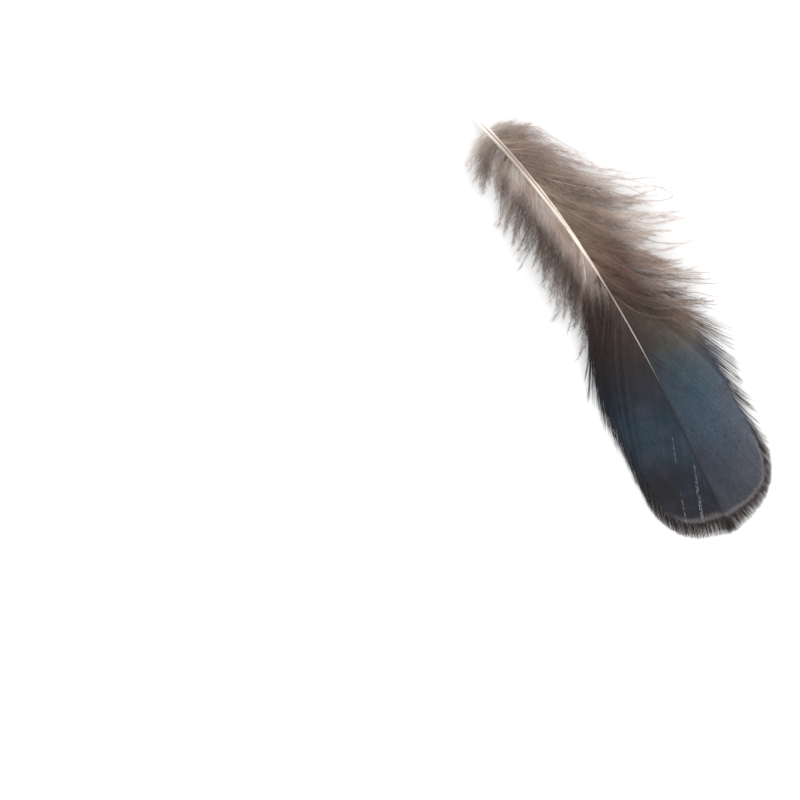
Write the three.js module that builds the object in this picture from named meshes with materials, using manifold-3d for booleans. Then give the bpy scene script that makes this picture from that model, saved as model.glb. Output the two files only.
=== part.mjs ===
// A pheasant's body feather, 60 mm long, lying dorsal side up on its down and on the rim of its vane.
// It grew as one piece: a shaft that tapers from the quill to the tip, a closed vane over the outer
// half, and two layers of downy locks over the inner half, all fused into one solid here.
// Millimetres. +Y runs from the quill's end to the tip, +Z is up, and the origin lies on the
// surface that the feather rests on, under the middle of its bounding box.
import * as THREE from "three";
import { mergeVertices } from "three/addons/utils/BufferGeometryUtils.js";
import Module from "manifold-3d";

// Driving dimensions
const LENGTH = 60;
const QUILL_Y = -LENGTH / 2;
const TIP_Y = LENGTH / 2;
const AXIS_X = 4.45; // the straight line from the quill's end to the tip, which the shaft bows away from
const ARCH = 3.2; // about how high the shaft's middle stands over the surface
const QUILL_RADIUS = 0.5;

// The two sides, named as seen from the quill's end with the tip pointing away
const RIGHT = 1;
const LEFT = -1;

// The shaft bows to the left and arches over the surface.
const SHAFT_END_Y = TIP_Y - 1.4;
const shaft = new THREE.CubicBezierCurve3(
  new THREE.Vector3(AXIS_X + 0.2, QUILL_Y, QUILL_RADIUS),
  new THREE.Vector3(AXIS_X - 4.6, QUILL_Y + 19.5, ARCH * 1.1),
  new THREE.Vector3(AXIS_X - 2.2, QUILL_Y + 39, ARCH * 1.45),
  new THREE.Vector3(AXIS_X, SHAFT_END_Y, 0.45),
);
const SHAFT_STEPS = 14;
const SHAFT_SIDES = 8;
// Radius of the shaft at a share of its length
const SHAFT_RADII = [
  [0, 0.36],
  [0.03, QUILL_RADIUS],
  [0.2, 0.4],
  [0.45, 0.3],
  [0.7, 0.24],
  [1, 0.2],
];

// The closed vane: barbs leave the shaft and end on the rim.
const VANE_START = 0.42; // share of the shaft's length where the vane's first barb leaves it
const VANE_ROWS = 36;
const SIDE_COLUMNS = 4;
const VANE_THICKNESS = 0.28;
const BARB_ANGLE = 36; // degrees from the shaft where the vane's first barb leaves it
const RIM_NOTCH = 0.55; // how far every second row of the rim stands back
const RIM_HEIGHT = 0.1;
const VANE_DROOP = 1.5; // power by which the vane falls from the shaft to its rim
const BARB_CURL = 0.45; // share of a barb's reach over which it keeps the direction it left in
// Each side's rim: how far it lies across from the axis line and along from the quill's end
const RIM = {
  [LEFT]: [
    [-11.4, 37.5],
    [-10.2, 42],
    [-9.4, 46],
    [-9.1, 50],
    [-8.6, 54],
    [-7, 57],
    [-4, 59],
    [-0.25, 59.9],
  ],
  [RIGHT]: [
    [5.6, 36.5],
    [5.9, 41],
    [6.3, 46],
    [6.8, 50.5],
    [6.9, 53.5],
    [5.8, 56.4],
    [3.7, 58.4],
    [0.25, 59.8],
  ],
};

// The down: for a lock that leaves the shaft at a share of its length, how long it is and how many
// degrees it stands off the shaft at its root and at its tip.
const DOWN_SHAPE = [
  { at: 0.065, length: 4, root: 75, tip: 30 },
  { at: 0.12, length: 8, root: 58, tip: 36 },
  { at: 0.2, length: 14.5, root: 42, tip: 66 },
  { at: 0.28, length: 17.5, root: 34, tip: 70 },
  { at: 0.43, length: 17.5, root: 26, tip: 56 },
];
const RIGHT_SHARE = 0.64; // the right-hand down is shorter
const UPPER_LOCKS = 17;
const LOWER_LOCKS = 8;
const REACHES = [1, 0.86, 0.94, 0.82, 0.97, 0.9]; // lock tips end unevenly, in this rhythm
const TILTS = [0, 5, -3, 4, -5, 3]; // degrees that neighbouring locks lean apart
const LOCK_SINK = 0.2; // how far below the shaft's centre a lock starts
const LOCK_PIECES = 12; // pieces of a lock's curve, each turned a little more than the last
const LOCK_SIDES = 4;
const UPPER_LOCK = { width: 1.5, thickness: 0.55, rise: 1.1, tipHeight: 1.6, steps: 5 };
const LOWER_LOCK = { width: 1.9, thickness: 0.5, rise: -1.2, tipHeight: 0.15, steps: 4 };
// A lock's width follows this stretch of half a sine wave, raised to a power, over its least share.
const SWELL = { from: 0.08, to: 0.98, power: 0.7, least: 0.12 };

const WELD = 1e-4; // corners closer than this are one
const UP = new THREE.Vector3(0, 0, 1);
const { lerp, degToRad } = THREE.MathUtils;

const wasm = await Module();
wasm.setup();

// A closed geometry as a solid that can be joined and cut
function solidFrom(geometry) {
  geometry.deleteAttribute("normal");
  geometry.deleteAttribute("uv");
  const merged = mergeVertices(geometry, WELD);
  const corners = merged.index.array;
  const kept = [];
  for (let i = 0; i < corners.length; i += 3) {
    const [a, b, c] = corners.subarray(i, i + 3);
    if (a !== b && b !== c && c !== a) kept.push(a, b, c);
  }
  return new wasm.Manifold(
    new wasm.Mesh({
      numProp: 3,
      vertProperties: merged.attributes.position.array,
      triVerts: new Uint32Array(kept),
    }),
  );
}

// A solid as a flat-shaded geometry
function geometryFrom(solid) {
  const mesh = solid.getMesh();
  const position = new THREE.BufferAttribute(new Float32Array(mesh.vertProperties), 3);
  const geometry = new THREE.BufferGeometry().setAttribute("position", position);
  geometry.setIndex(new THREE.BufferAttribute(mesh.triVerts, 1));
  const flat = geometry.toNonIndexed();
  flat.computeVertexNormals();
  return flat;
}

// Reads a table of [position, value] rows, with straight lines between them
function fromTable(rows, at) {
  const next = rows.findIndex((row) => row[0] >= at);
  if (next <= 0) return rows.at(next)[1];
  const [a, b] = [rows[next - 1], rows[next]];
  return lerp(a[1], b[1], (at - a[0]) / (b[0] - a[0]));
}

// The direction of a route at a share of its length
function directionOf(route, share) {
  const NEAR = 0.02;
  const before = route(Math.max(share - NEAR, 0));
  return route(Math.min(share + NEAR, 1)).sub(before).normalize();
}

// Moves a cylinder's rings along a route: half widths lie across it and half heights stand up from it.
function sweep({ route, halfWidth, halfHeight, sides, steps }) {
  const geometry = new THREE.CylinderGeometry(1, 1, 1, sides, steps);
  const position = geometry.attributes.position;
  const corner = new THREE.Vector3();
  for (let i = 0; i < position.count; i++) {
    corner.fromBufferAttribute(position, i);
    const share = THREE.MathUtils.clamp(corner.y + 0.5, 0, 1);
    const centre = route(share);
    const along = directionOf(route, share);
    const across = new THREE.Vector3().crossVectors(along, UP).normalize();
    const upward = new THREE.Vector3().crossVectors(across, along);
    centre.addScaledVector(across, corner.x * halfWidth(share));
    centre.addScaledVector(upward, corner.z * halfHeight(share));
    position.setXYZ(i, centre.x, centre.y, centre.z);
  }
  return geometry;
}

// The shaft: round at the quill, pointed at the tip
function shaftSolid() {
  const radius = (share) => fromTable(SHAFT_RADII, share);
  return solidFrom(
    sweep({
      route: (share) => shaft.getPoint(share),
      halfWidth: radius,
      halfHeight: radius,
      sides: SHAFT_SIDES,
      steps: SHAFT_STEPS,
    }),
  );
}

// A point on the vane: row 0 is the first barb and 1 the last, share 0 the shaft and 1 the rim.
function vanePoint(side, row, share, notch) {
  const at = lerp(VANE_START, 1, row);
  const start = shaft.getPoint(at);
  const heading = shaft.getTangent(at);
  const rim = RIM[side].map(([across, along]) => new THREE.Vector2(AXIS_X + across, QUILL_Y + along));
  const end = new THREE.SplineCurve(rim).getPoint(row);
  const root = new THREE.Vector2(start.x, start.y);
  const reach = root.distanceTo(end);
  const leave = new THREE.Vector2(heading.x, heading.y).setLength(reach * BARB_CURL);
  leave.rotateAround(new THREE.Vector2(), -side * degToRad(lerp(BARB_ANGLE, 0, row)));
  const barb = new THREE.QuadraticBezierCurve(root, root.clone().add(leave), end);
  const flat = barb.getPoint(share * (1 - notch / reach));
  return new THREE.Vector3(flat.x, flat.y, lerp(start.z, RIM_HEIGHT, share ** VANE_DROOP));
}

// Both sides of the vane: a box's grid laid over the barbs, with every second row cut short at the rim
function vaneSolid() {
  const geometry = new THREE.BoxGeometry(2, 1, 1, 2 * SIDE_COLUMNS, VANE_ROWS, 1);
  const position = geometry.attributes.position;
  const corner = new THREE.Vector3();
  for (let i = 0; i < position.count; i++) {
    corner.fromBufferAttribute(position, i);
    const side = corner.x < 0 ? LEFT : RIGHT;
    const row = corner.y + 0.5;
    const share = Math.abs(corner.x);
    const notch = Math.round(row * VANE_ROWS) % 2 ? RIM_NOTCH * share : 0;
    const point = vanePoint(side, row, share, notch);
    position.setXYZ(i, point.x, point.y, point.z + corner.z * VANE_THICKNESS);
  }
  return solidFrom(geometry);
}

// The down's length and angles for a lock that leaves the shaft at a share of its length
function downShape(at) {
  const table = (key) => fromTable(DOWN_SHAPE.map((row) => [row.at, row[key]]), at);
  return { length: table("length"), root: table("root"), tip: table("tip") };
}

// One downy lock: it turns steadily from its root angle to its tip angle, and tapers at both ends.
function lockSolid(side, at, number, form) {
  const { length, root, tip } = downShape(at);
  const start = shaft.getPoint(at);
  const heading = shaft.getTangent(at);
  const shaftAngle = Math.atan2(heading.x, heading.y);
  const reach = length * REACHES[number % REACHES.length] * (side === RIGHT ? RIGHT_SHARE : 1);
  const lean = TILTS[number % TILTS.length];
  const laid = [new THREE.Vector2(start.x, start.y)];
  for (let i = 0; i < LOCK_PIECES; i++) {
    const turn = lerp(root, tip, (i + 0.5) / LOCK_PIECES) + lean;
    const angle = shaftAngle + side * degToRad(turn);
    const step = new THREE.Vector2(Math.sin(angle), Math.cos(angle));
    laid.push(laid[i].clone().addScaledVector(step, reach / LOCK_PIECES));
  }
  const plan = new THREE.SplineCurve(laid);
  const route = (share) => {
    const point = plan.getPoint(share);
    const arch = form.rise * Math.sin(Math.PI * share);
    return new THREE.Vector3(point.x, point.y, lerp(start.z - LOCK_SINK, form.tipHeight, share) + arch);
  };
  const swell = (share) => {
    const wave = Math.sin(Math.PI * lerp(SWELL.from, SWELL.to, share));
    return lerp(SWELL.least, 1, wave ** SWELL.power);
  };
  return solidFrom(
    sweep({
      route,
      halfWidth: (share) => form.width * swell(share),
      halfHeight: (share) => form.thickness * swell(share),
      sides: LOCK_SIDES,
      steps: form.steps,
    }),
  );
}

// A layer of locks down one side of the shaft
function downLayer(side, count, form) {
  const first = DOWN_SHAPE[0].at;
  const last = DOWN_SHAPE.at(-1).at;
  const locks = [];
  for (let i = 0; i < count; i++) {
    locks.push(lockSolid(side, lerp(first, last, i / (count - 1)), i, form));
  }
  return locks;
}

// Everything below the surface is cut off flat, where the down and the rim press on it.
function belowSurface() {
  const DEPTH = 10;
  const block = new THREE.BoxGeometry(4 * LENGTH, 4 * LENGTH, DEPTH);
  block.translate(0, 0, -DEPTH / 2);
  return solidFrom(block);
}

let whole = shaftSolid().add(vaneSolid());
for (const side of [LEFT, RIGHT]) {
  for (const lock of downLayer(side, UPPER_LOCKS, UPPER_LOCK)) whole = whole.add(lock);
  for (const lock of downLayer(side, LOWER_LOCKS, LOWER_LOCK)) whole = whole.add(lock);
}
whole = whole.subtract(belowSurface());
// Pockets that the locks close in between them are filled, so only the outside skin is kept.
const [skin] = whole.decompose().sort((a, b) => b.volume() - a.volume());

const feather = new THREE.Mesh(
  geometryFrom(skin),
  new THREE.MeshStandardMaterial({ color: 0x5d5652, roughness: 0.7, metalness: 0 }),
);
feather.name = "feather";

const group = new THREE.Group();
group.add(feather);

export default group;
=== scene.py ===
# %% [markdown]
# # A pheasant's body feather
#
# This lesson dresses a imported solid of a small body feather: a bowed shaft, a closed blue-green vane with
# a dark fringe over the outer half, and loose grey-brown down over the inner half. The solid gives the
# size and the outline. What an eye sees from close by, the single barbs and their hairs, is made here.

import bpy
import numpy as np
from mathutils import Euler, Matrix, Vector


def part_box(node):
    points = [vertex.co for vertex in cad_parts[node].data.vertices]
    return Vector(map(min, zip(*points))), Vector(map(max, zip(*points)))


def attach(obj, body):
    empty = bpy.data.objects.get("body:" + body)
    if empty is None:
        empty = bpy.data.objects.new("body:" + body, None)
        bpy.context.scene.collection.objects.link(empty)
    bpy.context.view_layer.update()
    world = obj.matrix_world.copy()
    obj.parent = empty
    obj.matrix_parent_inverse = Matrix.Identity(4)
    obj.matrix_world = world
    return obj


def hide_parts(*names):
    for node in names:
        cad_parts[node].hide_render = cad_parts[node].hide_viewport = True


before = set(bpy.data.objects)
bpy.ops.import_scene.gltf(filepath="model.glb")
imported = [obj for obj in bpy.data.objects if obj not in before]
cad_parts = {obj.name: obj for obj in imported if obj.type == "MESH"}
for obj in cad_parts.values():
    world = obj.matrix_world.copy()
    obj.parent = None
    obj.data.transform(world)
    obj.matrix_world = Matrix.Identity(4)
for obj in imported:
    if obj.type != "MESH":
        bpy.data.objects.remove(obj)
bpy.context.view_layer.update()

# %% [markdown]
# ## The curves that everything grows from
#
# A feather is a tree of curves. The shaft is one cubic Bezier curve, and each barb leaves it at a share
# of its length. The same few numbers shaped the solid, so the barbs end where the solid ends. Lengths
# here are in millimetres, because a barb is a tenth of one, and become metres only in the meshes.

# %% The shaft's curve
MM = 0.001
LEFT, RIGHT = -1, 1  # as seen from the quill's end, with the tip pointing away
UP = np.array((0.0, 0.0, 1.0))
QUILL_Y, TIP_Y = -30.0, 30.0
AXIS_X = 4.45
SHAFT = np.array(
    [
        (AXIS_X + 0.2, QUILL_Y, 0.5),
        (AXIS_X - 4.6, QUILL_Y + 19.5, 3.52),
        (AXIS_X - 2.2, QUILL_Y + 39.0, 4.64),
        (AXIS_X, TIP_Y - 1.4, 0.45),
    ]
)
NUDGE = 0.01  # the share of the shaft over which its direction is measured


def on_shaft(at):
    """Points of the shaft's centre line, at shares of its length"""
    t = np.asarray(at, float)[..., None]
    a, b, c, d = SHAFT
    return (1 - t) ** 3 * a + 3 * t * (1 - t) ** 2 * b + 3 * t**2 * (1 - t) * c + t**3 * d


def shaft_angle(at):
    """The way the shaft points, in radians clockwise from +Y, seen from above"""
    step = on_shaft(np.asarray(at) + NUDGE) - on_shaft(np.asarray(at) - NUDGE)
    return np.arctan2(step[..., 0], step[..., 1])


def mix(a, b, share):
    return a + (b - a) * share


def ease(low, high, value):
    """0 below low, 1 above high, and smooth between them"""
    t = np.clip((value - low) / (high - low), 0, 1)
    return t * t * (3 - 2 * t)


SHAFT_LINE = on_shaft(np.linspace(0, 1, 200))
print("shaft's middle", np.round(on_shaft(0.5), 2))

# %% [markdown]
# ## The rim
#
# The rim of the vane is drawn as a smooth line through a few points on each side. Near the rim the barbs
# have no hooks, so they part into a dark fringe. How wide that fringe is changes along the rim: it is
# narrow along the sides, wide at the tip, and deepest where the vane passes into the down.

# %% The rim's curves
RIM = {  # in millimetres: across from the axis, and up from the quill's end
    LEFT: [
        (-11.4, 37.5), (-10.2, 42), (-9.4, 46), (-9.1, 50),
        (-8.6, 54), (-7, 57), (-4, 59), (-0.25, 59.9),
    ],
    RIGHT: [
        (5.6, 36.5), (5.9, 41), (6.3, 46), (6.8, 50.5),
        (6.9, 53.5), (5.8, 56.4), (3.7, 58.4), (0.25, 59.8),
    ],
}
# Width of the fringe in millimetres, by row: row 0 is the first barb of the vane and 1 the last.
FRINGE = {
    LEFT: ([0, 0.1, 0.22, 0.4, 0.7, 0.85, 1], [2.8, 1.9, 1.1, 0.8, 1.0, 1.7, 2.5]),
    RIGHT: ([0, 0.1, 0.22, 0.4, 0.6, 0.8, 1], [1.2, 1.0, 0.9, 0.95, 1.4, 2.0, 2.6]),
}
RIM_SAMPLES = 160


def spline(points, share):
    """A smooth line through evenly spaced points, like the one that draws the solid's rim"""
    points = np.asarray(points, float)
    count = len(points) - 1
    place = np.clip(np.asarray(share, float), 0, 1) * count
    first = np.minimum(place.astype(int), count - 1)
    t = (place - first)[..., None]
    p0, p1, p2, p3 = (points[np.clip(first + k, 0, count)] for k in (-1, 0, 1, 2))
    p0 = np.where((first == 0)[..., None], p1, p0)
    p3 = np.where((first == count - 1)[..., None], p2, p3)
    v1, v2 = (p2 - p0) / 2, (p3 - p1) / 2
    return (2 * p1 - 2 * p2 + v1 + v2) * t**3 + (3 * p2 - 3 * p1 - 2 * v1 - v2) * t**2 + v1 * t + p1


def rim_point(side, row):
    return spline(RIM[side], row) + (AXIS_X, QUILL_Y)


def fringe_share(side, points):
    """How far points lie inside the rim, as a share of the fringe's width there"""
    rows = np.linspace(0, 1, RIM_SAMPLES)
    line = rim_point(side, rows)
    widths = np.interp(rows, *FRINGE[side])
    flat = points[..., :2].reshape(-1, 2)
    gaps = np.linalg.norm(flat[:, None] - line[None], axis=2)
    nearest = gaps.argmin(1)
    return (gaps[np.arange(len(flat)), nearest] / widths[nearest]).reshape(points.shape[:-1])


print("rim from", rim_point(LEFT, 0.0), "to", rim_point(LEFT, 1.0))

# %% [markdown]
# ## Making many small things
#
# A vane has hundreds of barbs and the down has tens of thousands of hairs. Modelling each with operators
# would take hours, so they are joined meshes: NumPy works out all their points at once and one mesh
# takes them. Each hair is a closed three-sided spike, which is the smallest shape with a real surface.
# The points carry named values for the materials. When a model leaves Blender, its colours are baked into
# a picture, and an unwrapper would give such thin hairs no width on it. So each hair gets a patch of its
# own there, in a grid that is easy to work out, and the map called OFBake holds those patches.

# %% Joined meshes
PATCH_EDGE = 0.12  # the share of a patch that is left free on each side, so that colours don't run over
STEM_SHARE = 0.25  # the share of the picture that stems get; the hairs have the rest
SPIKE_SIDES = 3
SPIKE_TURN = 0.5  # radians that a spike's first corner is turned away from flat
TINY = 1e-12  # keeps a length of nothing from dividing by zero
FLOOR_GAP = 0.03  # millimetres
BOX_SPARE = 0.025  # hairs may pass the solid's box by this share of its size
LOW, HIGH = (np.array(corner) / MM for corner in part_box("feather"))


def kept_in_box(points):
    """Points no lower than the surface and no further out than the solid reaches"""
    spare = (HIGH - LOW) * BOX_SPARE
    return np.clip(points, (LOW[0] - spare[0], LOW[1], FLOOR_GAP), HIGH + spare)


def spread(values, count):
    """Values for count points, from one for them all, one for each shape, or one for each point"""
    values = np.ravel(values)
    return np.repeat(values, count // len(values))


def joined(name, points, triangles, looks, spots):
    """One mesh from arrays: points in millimetres, named values at each point for the material, and each
    corner's or point's spot on the picture that the colours are baked into"""
    mesh = bpy.data.meshes.new(name)
    mesh.vertices.add(len(points))
    mesh.vertices.foreach_set("co", (points * MM).astype(np.float32).ravel())
    mesh.loops.add(triangles.size)
    mesh.loops.foreach_set("vertex_index", triangles.astype(np.int32).ravel())
    mesh.polygons.add(len(triangles))
    mesh.polygons.foreach_set("loop_start", np.arange(0, triangles.size, 3, dtype=np.int32))
    mesh.polygons.foreach_set("use_smooth", np.ones(len(triangles), bool))
    bow = points[:, 0] - np.interp(points[:, 1], SHAFT_LINE[:, 1], SHAFT_LINE[:, 0])
    for key, values in {**looks, "bow": bow}.items():
        layer = mesh.attributes.new(key, "FLOAT", "POINT")
        layer.data.foreach_set("value", values.astype(np.float32))
    spots = spots[triangles.ravel()] if len(spots) == len(points) else spots
    layer = mesh.uv_layers.new(name="OFBake", do_init=False)
    layer.uv.foreach_set("vector", spots.astype(np.float32).ravel())
    mesh.update(calc_edges=True)
    piece = bpy.data.objects.new(name, mesh)
    bpy.context.scene.collection.objects.link(piece)
    print(name, len(points), "points", len(triangles), "triangles")
    return piece


def spikes(paths, radii):
    """Closed three-sided spikes along paths (count, steps, 3), with radii at all steps but the tip"""
    count, steps, _ = paths.shape
    radii = np.broadcast_to(radii, (count, steps - 1))
    ways = np.gradient(paths, axis=1)
    ways /= np.linalg.norm(ways, axis=2, keepdims=True) + TINY
    aside = np.cross(ways, UP)
    aside /= np.linalg.norm(aside, axis=2, keepdims=True) + TINY
    above = np.cross(aside, ways)
    angles = SPIKE_TURN + np.arange(SPIKE_SIDES) * 2 * np.pi / SPIKE_SIDES
    ring = aside[:, :-1, None] * np.cos(angles)[:, None] + above[:, :-1, None] * np.sin(angles)[:, None]
    rings = paths[:, :-1, None] + ring * radii[:, :, None, None]
    points = np.concatenate([rings.reshape(count, -1, 3), paths[:, -1:]], axis=1)
    faces = [(0, 1, 2)]
    for step in range(steps - 2):
        a, after = SPIKE_SIDES * step, SPIKE_SIDES * (step + 1)
        for k in range(SPIKE_SIDES):
            b = (k + 1) % SPIKE_SIDES
            faces += [(a + k, after + k, a + b), (a + b, after + k, after + b)]
    a, tip = SPIKE_SIDES * (steps - 2), SPIKE_SIDES * (steps - 1)
    faces += [(a + k, tip, a + (k + 1) % SPIKE_SIDES) for k in range(SPIKE_SIDES)]
    triangles = np.array(faces)[None] + (np.arange(count) * points.shape[1])[:, None, None]
    return points.reshape(-1, 3), triangles.reshape(-1, 3)


def patches(count, steps, low, high):
    """A patch of the picture for each spike, laid in a grid between two heights: a spot for each point"""
    columns = int(np.ceil(np.sqrt(count / (high - low))))
    lines = int(np.ceil(count / columns))
    number = np.arange(count)[:, None]
    along = np.append(np.repeat(np.arange(steps - 1), SPIKE_SIDES), steps - 1) / (steps - 1)
    across = np.append(np.tile(np.linspace(0, 1, SPIKE_SIDES), steps - 1), 0.5)
    u = (number % columns + mix(PATCH_EDGE, 1 - PATCH_EDGE, across)) / columns
    v = (number // columns + mix(PATCH_EDGE, 1 - PATCH_EDGE, along)) / lines
    return np.stack([u, mix(low, high, v)], 2).reshape(-1, 2)


def hairy(name, stems, hairs, looks, rim_side=None):
    """A joined mesh of stems and of the hairs along them. stems and hairs are each (paths, radii), and
    looks gives under each name the values of the stems and those of the hairs."""
    stems, hairs = ((kept_in_box(paths), radii) for paths, radii in (stems, hairs))
    (stem_points, stem_faces), (hair_points, hair_faces) = spikes(*stems), spikes(*hairs)
    points = np.concatenate([stem_points, hair_points])
    faces = np.concatenate([stem_faces, hair_faces + len(stem_points)])
    spots = np.concatenate(
        [patches(*stems[0].shape[:2], 0, STEM_SHARE), patches(*hairs[0].shape[:2], STEM_SHARE, 1)]
    )
    values = {
        key: np.append(spread(stem, len(stem_points)), spread(hair, len(hair_points)))
        for key, (stem, hair) in looks.items()
    }
    if rim_side is not None:
        values["inside"] = fringe_share(rim_side, points)
    return joined(name, points, faces, values, spots)


print("a hair of three steps has", len(spikes(np.eye(3)[None], 0.1)[1]), "triangles")

# %% [markdown]
# ## Shader maths in plain Python
#
# Colour patterns are worked out in the shader from the place on the feather. A small class wraps a
# socket, so that an expression such as `1 - mask * 0.5` adds its own Math nodes.

# %% A socket that can be used in expressions
BLACK, WHITE = (0, 0, 0, 1), (1, 1, 1, 1)


class Value:
    def __init__(self, look, socket):
        self.look, self.socket = look, socket

    def maths(self, operation, *others):
        inputs = dict(enumerate((self, *others)))
        return self.look.node("ShaderNodeMath", {"operation": operation}, inputs)

    def __add__(self, other):
        return self.maths("ADD", other)

    __radd__ = __add__

    def __mul__(self, other):
        return self.maths("MULTIPLY", other)

    __rmul__ = __mul__

    def __sub__(self, other):
        return self.maths("SUBTRACT", other)

    def __rsub__(self, other):
        return self.look.number(other).maths("SUBTRACT", self)

    def __truediv__(self, other):
        return self.maths("DIVIDE", other)


class Look:
    """A material whose nodes are written as expressions"""

    def __init__(self, name):
        self.material = bpy.data.materials.new(name)
        self.material.use_nodes = True
        self.tree = self.material.node_tree
        self.shader = self.tree.nodes["Principled BSDF"]

    def node(self, kind, settings=None, inputs=None, output=0):
        made = self.tree.nodes.new(kind)
        for key, value in (settings or {}).items():
            setattr(made, key, value)
        for key, value in (inputs or {}).items():
            self.feed(made.inputs[key], value)
        return Value(self, made.outputs[output])

    def feed(self, socket, value):
        if isinstance(value, Value):
            self.tree.links.new(value.socket, socket)
        else:
            socket.default_value = value

    def number(self, value):
        made = self.node("ShaderNodeValue")
        made.socket.default_value = value
        return made

    def attribute(self, name):
        return self.node("ShaderNodeAttribute", {"attribute_name": name}, output="Fac")

    def place(self):
        return self.node("ShaderNodeTexCoord", output="Object")

    def axis(self, name):
        return self.node("ShaderNodeSeparateXYZ", None, {0: self.place()}, name)

    def step(self, value, low, high):
        """0 up to low, 1 from high, and smooth between them; with low above high it runs the other way"""
        settings = {"interpolation_type": "SMOOTHSTEP"}
        return self.node("ShaderNodeMapRange", settings, {"Value": value, "From Min": low, "From Max": high})

    def between(self, value, low, full, fading, high):
        """0 up to low, 1 from full to fading, and 0 again from high"""
        return self.step(value, low, full) * (1 - self.step(value, fading, high))

    def noise(self, scale, detail, place=None):
        """Soft spots: a higher scale makes them smaller, and detail adds finer ones to them"""
        inputs = {"Vector": place or self.place(), "Scale": scale, "Detail": detail}
        return self.node("ShaderNodeTexNoise", None, inputs, "Fac")

    def blend(self, share, first, second, way="MIX"):
        settings = {"data_type": "RGBA", "blend_type": way}
        return self.node("ShaderNodeMix", settings, {"Factor": share, 6: first, 7: second}, 2)

    def grey_over(self, share, surface, value):
        """The surface, darker where value is below a half and lighter where it is above"""
        return self.blend(share, surface, self.blend(value, BLACK, WHITE), "OVERLAY")

    def bands(self, value, stops):
        """A colour ramp: stops are (place, colour)"""
        made = self.node("ShaderNodeValToRGB", None, {0: value})
        ramp = made.socket.node.color_ramp
        while len(ramp.elements) < len(stops):
            ramp.elements.new(0.5)
        for element, (place, shown) in zip(ramp.elements, stops):
            element.position = place
            element.color = shown
        return made

    def finish(self, **inputs):
        for name, value in inputs.items():
            self.feed(self.shader.inputs[name.replace("_", " ")], value)
        print(self.material.name, "finish has", len(self.tree.nodes), "nodes")
        return self.material


def colour(red, green, blue):
    """A colour from the 0 to 255 values that a picture shows"""
    shown = np.array((red, green, blue)) / 255
    linear = np.where(shown <= 0.04045, shown / 12.92, ((shown + 0.055) / 1.055) ** 2.4)
    return (*linear.tolist(), 1.0)


print("a mid grey of 128 is", round(colour(128, 128, 128)[0], 3), "of the light")

# %% [markdown]
# ## The shaft
#
# The quill is a hollow horn tube that turns into a solid, tapering shaft. It could be a stack of
# cylinders, but a Bezier curve with a profile is how one would draw it by hand: two points with
# handles give the same curve as the solid's. The profile has a shallow groove along its back.

# %% The shaft's profile and curve
SHAFT_WIDTH = [  # a share of the shaft's length, and the radius there in millimetres
    (0.0, 0.30), (0.05, 0.42), (0.14, 0.39), (0.24, 0.34), (0.34, 0.27),
    (0.41, 0.18), (0.48, 0.11), (0.6, 0.07), (0.75, 0.055), (1.0, 0.035),
]
SHAFT_CUTS = 30
GROOVE_DEPTH, GROOVE_HALF_WIDTH = 0.3, 0.5  # as shares of the radius
FLATTENING = 0.1
MERGE_DISTANCE = 1e-7  # metres
SHARP_FROM = 50  # degrees


def grooved_profile():
    """A closed profile of radius one: round, a little flat, with a groove in its back"""
    bpy.ops.curve.primitive_bezier_circle_add(radius=1.0)
    profile = bpy.context.object
    bpy.ops.object.mode_set(mode="EDIT")
    bpy.ops.curve.select_all(action="SELECT")
    bpy.ops.curve.subdivide(number_cuts=3)
    bpy.ops.object.mode_set(mode="OBJECT")
    for point in profile.data.splines[0].bezier_points:
        across, height = point.co.x, point.co.y
        groove = GROOVE_DEPTH * float(ease(GROOVE_HALF_WIDTH, 0.0, abs(across))) if height > 0 else 0.0
        shift = Vector((0, -groove - FLATTENING * height, 0))
        point.co += shift
        point.handle_left += shift
        point.handle_right += shift
    profile.data.resolution_u = 1
    return profile


def make_shaft():
    bpy.ops.object.select_all(action="DESELECT")
    profile = grooved_profile()
    bpy.ops.curve.primitive_bezier_curve_add()
    line = bpy.context.object
    ends = line.data.splines[0].bezier_points
    for point, (co, left, right) in zip(ends, ((0, 0, 1), (3, 2, 3))):
        point.handle_left_type = point.handle_right_type = "FREE"
        point.co = SHAFT[co] * MM
        point.handle_left = SHAFT[left] * MM
        point.handle_right = SHAFT[right] * MM
    bpy.ops.object.mode_set(mode="EDIT")
    bpy.ops.curve.select_all(action="SELECT")
    bpy.ops.curve.subdivide(number_cuts=SHAFT_CUTS)
    bpy.ops.object.mode_set(mode="OBJECT")
    points = line.data.splines[0].bezier_points
    for number, point in enumerate(points):
        at = number / (len(points) - 1)
        point.radius = float(np.interp(at, *zip(*SHAFT_WIDTH))) * MM
    line.data.twist_mode = "Z_UP"
    line.data.resolution_u = 4
    line.data.bevel_mode = "OBJECT"
    line.data.bevel_object = profile
    line.data.use_fill_caps = True
    bpy.ops.object.convert(target="MESH")
    shaft = bpy.context.object
    bpy.data.objects.remove(profile)
    bpy.ops.object.transform_apply(location=True, rotation=True, scale=True)
    bpy.ops.object.mode_set(mode="EDIT")
    bpy.ops.mesh.select_all(action="SELECT")
    bpy.ops.mesh.remove_doubles(threshold=MERGE_DISTANCE)
    bpy.ops.mesh.normals_make_consistent(inside=False)
    bpy.ops.object.mode_set(mode="OBJECT")
    bpy.ops.object.shade_smooth_by_angle(angle=np.radians(SHARP_FROM))
    shaft.name = shaft.data.name = "shaft"
    return shaft


shaft = make_shaft()
print("shaft", len(shaft.data.polygons), "faces")

# %% [markdown]
# ## The vane's barbs
#
# In the closed vane each barb is a narrow strip: its ridge rises a little, and its far edge slips under
# the next barb, as tiles do. That overlap is what draws the fine lines on a real feather. A barb leaves
# the shaft at a wide angle and bends towards the tip. In the fringe it narrows to a hair.

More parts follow.
